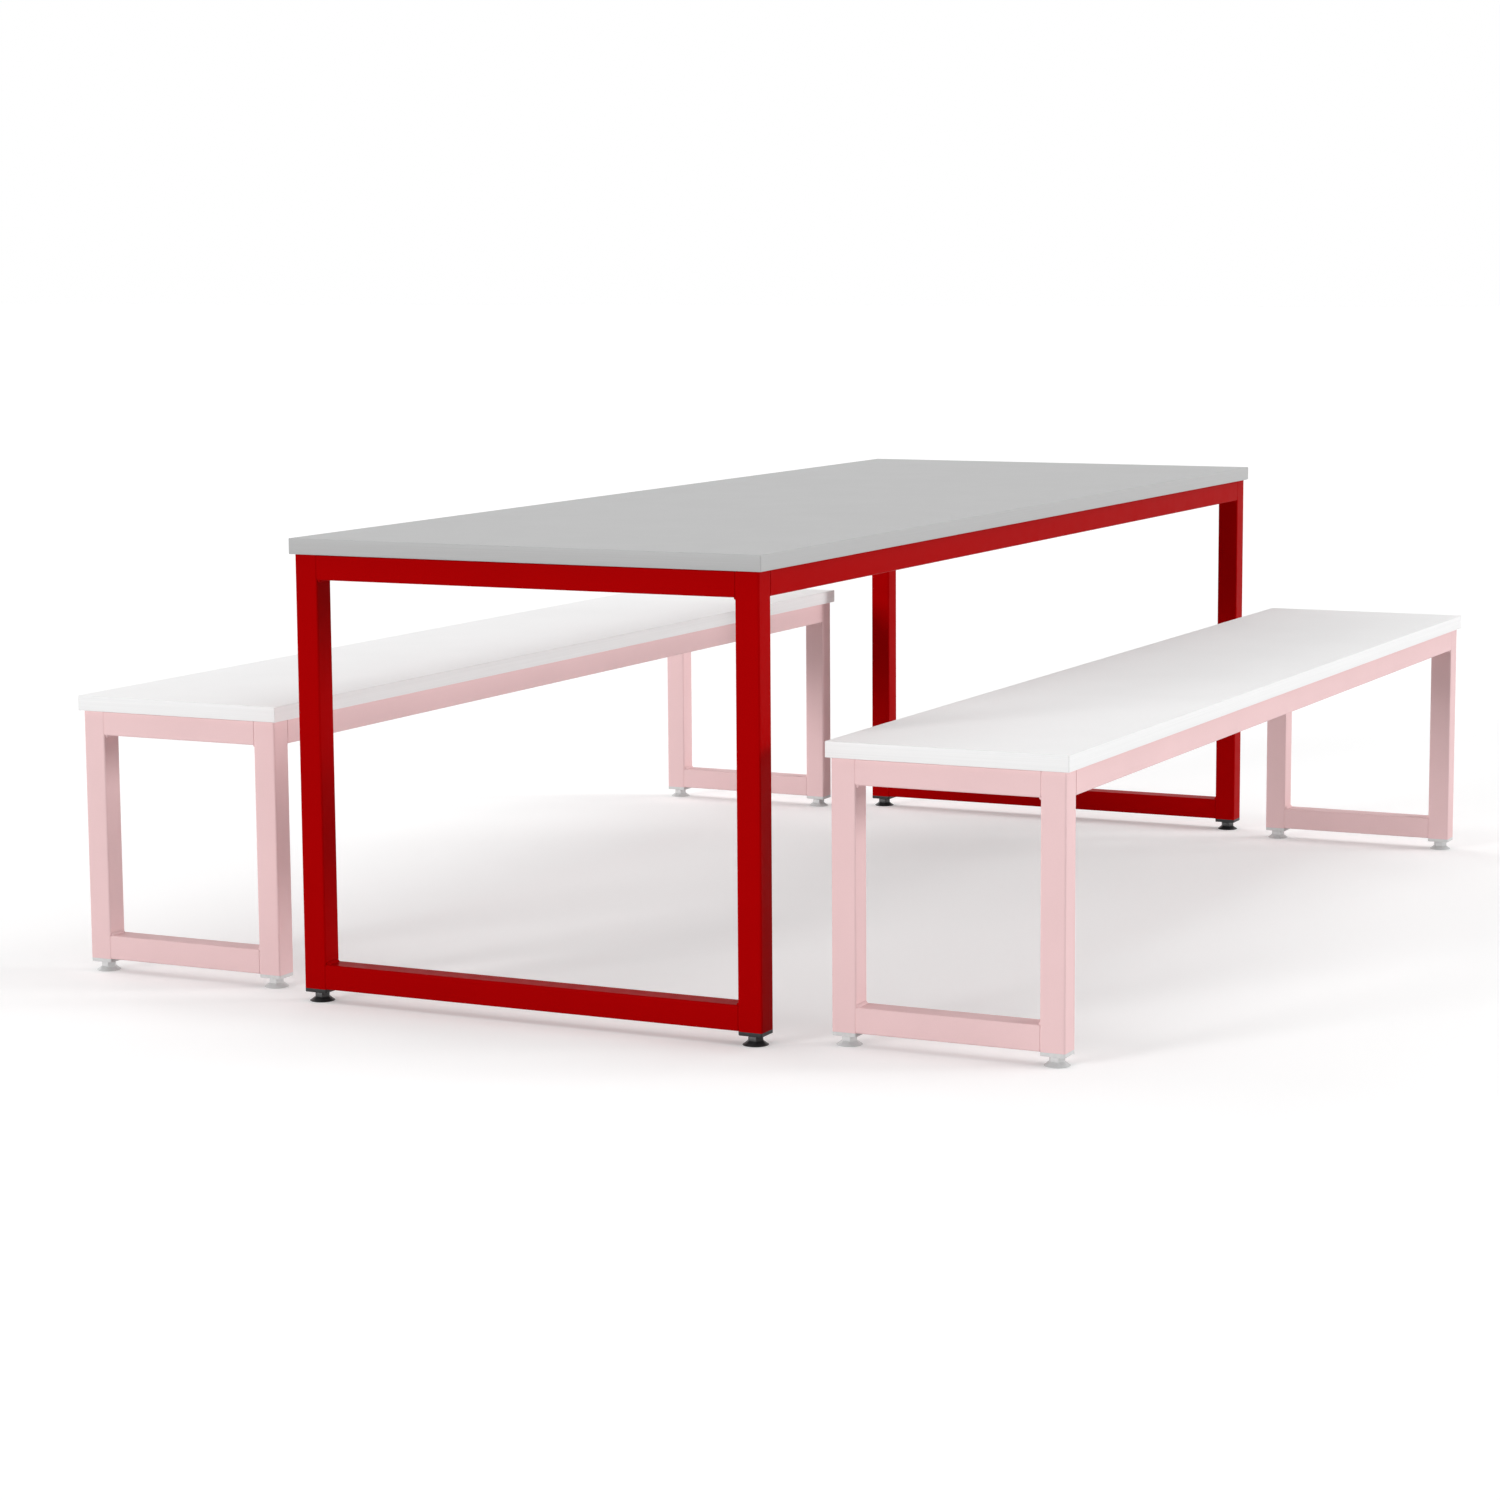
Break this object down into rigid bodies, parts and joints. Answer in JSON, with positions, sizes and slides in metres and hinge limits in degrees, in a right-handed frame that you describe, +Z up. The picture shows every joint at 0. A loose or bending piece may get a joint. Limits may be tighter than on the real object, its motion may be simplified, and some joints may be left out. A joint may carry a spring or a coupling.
{
  "type": "canteen table with benches",
  "caption": "Rigid rectangular canteen table on a welded square-tube frame, with matching loose bench seats and screw-in levelling feet.",
  "frame": {"origin": "on the floor, under the middle of the table", "axes": "+X along the table to its right end, +Y across it towards the back bench, +Z up"},
  "size_m": [2.24, 1.748, 0.74],
  "materials": {
    "table_paint": "red powder coat, semi-gloss",
    "table_laminate": "pale grey laminate on wood-based board, matt",
    "table_edging": "grey edge band",
    "table_plastic": "black moulded plastic",
    "zinc_steel": "zinc-plated steel",
    "bench_paint": "very pale pink powder coat, semi-gloss",
    "bench_laminate": "off-white laminate on wood-based board, matt",
    "bench_edging": "off-white edge band",
    "bench_plastic": "light grey moulded plastic"
  },
  "bodies": {
    "table": {"table_leg_left_front": "table_paint", "table_leg_left_back": "table_paint", "table_leg_right_front": "table_paint", "table_leg_right_back": "table_paint", "table_end_top_rail_left": "table_paint", "table_end_bottom_rail_left": "table_paint", "table_end_top_rail_right": "table_paint", "table_end_bottom_rail_right": "table_paint", "table_side_rail_front": "table_paint", "table_side_rail_back": "table_paint", "table_weld_beads": "table_paint", "table_board": "table_laminate", "table_edging": "table_edging", "table_fixing_tabs": "table_paint", "table_fixing_screws": "zinc_steel", "table_leg_inserts": "table_plastic"},
    "table_foot_left_front": {"table_foot_left_front": "table_plastic"},
    "table_foot_left_back": {"table_foot_left_back": "table_plastic"},
    "table_foot_right_front": {"table_foot_right_front": "table_plastic"},
    "table_foot_right_back": {"table_foot_right_back": "table_plastic"},
    "front_bench": {"front_bench_leg_left_front": "bench_paint", "front_bench_leg_left_back": "bench_paint", "front_bench_leg_right_front": "bench_paint", "front_bench_leg_right_back": "bench_paint", "front_bench_end_top_rail_left": "bench_paint", "front_bench_end_bottom_rail_left": "bench_paint", "front_bench_end_top_rail_right": "bench_paint", "front_bench_end_bottom_rail_right": "bench_paint", "front_bench_side_rail_front": "bench_paint", "front_bench_side_rail_back": "bench_paint", "front_bench_weld_beads": "bench_paint", "front_bench_board": "bench_laminate", "front_bench_edging": "bench_edging", "front_bench_fixing_tabs": "bench_paint", "front_bench_fixing_screws": "zinc_steel", "front_bench_leg_inserts": "bench_plastic"},
    "front_bench_foot_left_front": {"front_bench_foot_left_front": "bench_plastic"},
    "front_bench_foot_left_back": {"front_bench_foot_left_back": "bench_plastic"},
    "front_bench_foot_right_front": {"front_bench_foot_right_front": "bench_plastic"},
    "front_bench_foot_right_back": {"front_bench_foot_right_back": "bench_plastic"},
    "back_bench": {"back_bench_leg_left_front": "bench_paint", "back_bench_leg_left_back": "bench_paint", "back_bench_leg_right_front": "bench_paint", "back_bench_leg_right_back": "bench_paint", "back_bench_end_top_rail_left": "bench_paint", "back_bench_end_bottom_rail_left": "bench_paint", "back_bench_end_top_rail_right": "bench_paint", "back_bench_end_bottom_rail_right": "bench_paint", "back_bench_side_rail_front": "bench_paint", "back_bench_side_rail_back": "bench_paint", "back_bench_weld_beads": "bench_paint", "back_bench_board": "bench_laminate", "back_bench_edging": "bench_edging", "back_bench_fixing_tabs": "bench_paint", "back_bench_fixing_screws": "zinc_steel", "back_bench_leg_inserts": "bench_plastic"},
    "back_bench_foot_left_front": {"back_bench_foot_left_front": "bench_plastic"},
    "back_bench_foot_left_back": {"back_bench_foot_left_back": "bench_plastic"},
    "back_bench_foot_right_front": {"back_bench_foot_right_front": "bench_plastic"},
    "back_bench_foot_right_back": {"back_bench_foot_right_back": "bench_plastic"}
  },
  "joints": [
    {"name": "front_bench_push", "type": "slide", "parent": "table", "child": "front_bench", "axis": [0, 1, 0], "range_m": [-0.2, 0.48]},
    {"name": "back_bench_push", "type": "slide", "parent": "table", "child": "back_bench", "axis": [0, -1, 0], "range_m": [-0.2, 0.48]},
    {"name": "table_foot_left_front_height", "type": "slide", "parent": "table", "child": "table_foot_left_front", "axis": [0, 0, -1], "range_m": [0, 0.015]},
    {"name": "table_foot_left_back_height", "type": "slide", "parent": "table", "child": "table_foot_left_back", "axis": [0, 0, -1], "range_m": [0, 0.015]},
    {"name": "table_foot_right_front_height", "type": "slide", "parent": "table", "child": "table_foot_right_front", "axis": [0, 0, -1], "range_m": [0, 0.015]},
    {"name": "table_foot_right_back_height", "type": "slide", "parent": "table", "child": "table_foot_right_back", "axis": [0, 0, -1], "range_m": [0, 0.015]},
    {"name": "front_bench_foot_left_front_height", "type": "slide", "parent": "front_bench", "child": "front_bench_foot_left_front", "axis": [0, 0, -1], "range_m": [0, 0.015]},
    {"name": "front_bench_foot_left_back_height", "type": "slide", "parent": "front_bench", "child": "front_bench_foot_left_back", "axis": [0, 0, -1], "range_m": [0, 0.015]},
    {"name": "front_bench_foot_right_front_height", "type": "slide", "parent": "front_bench", "child": "front_bench_foot_right_front", "axis": [0, 0, -1], "range_m": [0, 0.015]},
    {"name": "front_bench_foot_right_back_height", "type": "slide", "parent": "front_bench", "child": "front_bench_foot_right_back", "axis": [0, 0, -1], "range_m": [0, 0.015]},
    {"name": "back_bench_foot_left_front_height", "type": "slide", "parent": "back_bench", "child": "back_bench_foot_left_front", "axis": [0, 0, -1], "range_m": [0, 0.015]},
    {"name": "back_bench_foot_left_back_height", "type": "slide", "parent": "back_bench", "child": "back_bench_foot_left_back", "axis": [0, 0, -1], "range_m": [0, 0.015]},
    {"name": "back_bench_foot_right_front_height", "type": "slide", "parent": "back_bench", "child": "back_bench_foot_right_front", "axis": [0, 0, -1], "range_m": [0, 0.015]},
    {"name": "back_bench_foot_right_back_height", "type": "slide", "parent": "back_bench", "child": "back_bench_foot_right_back", "axis": [0, 0, -1], "range_m": [0, 0.015]}
  ]
}
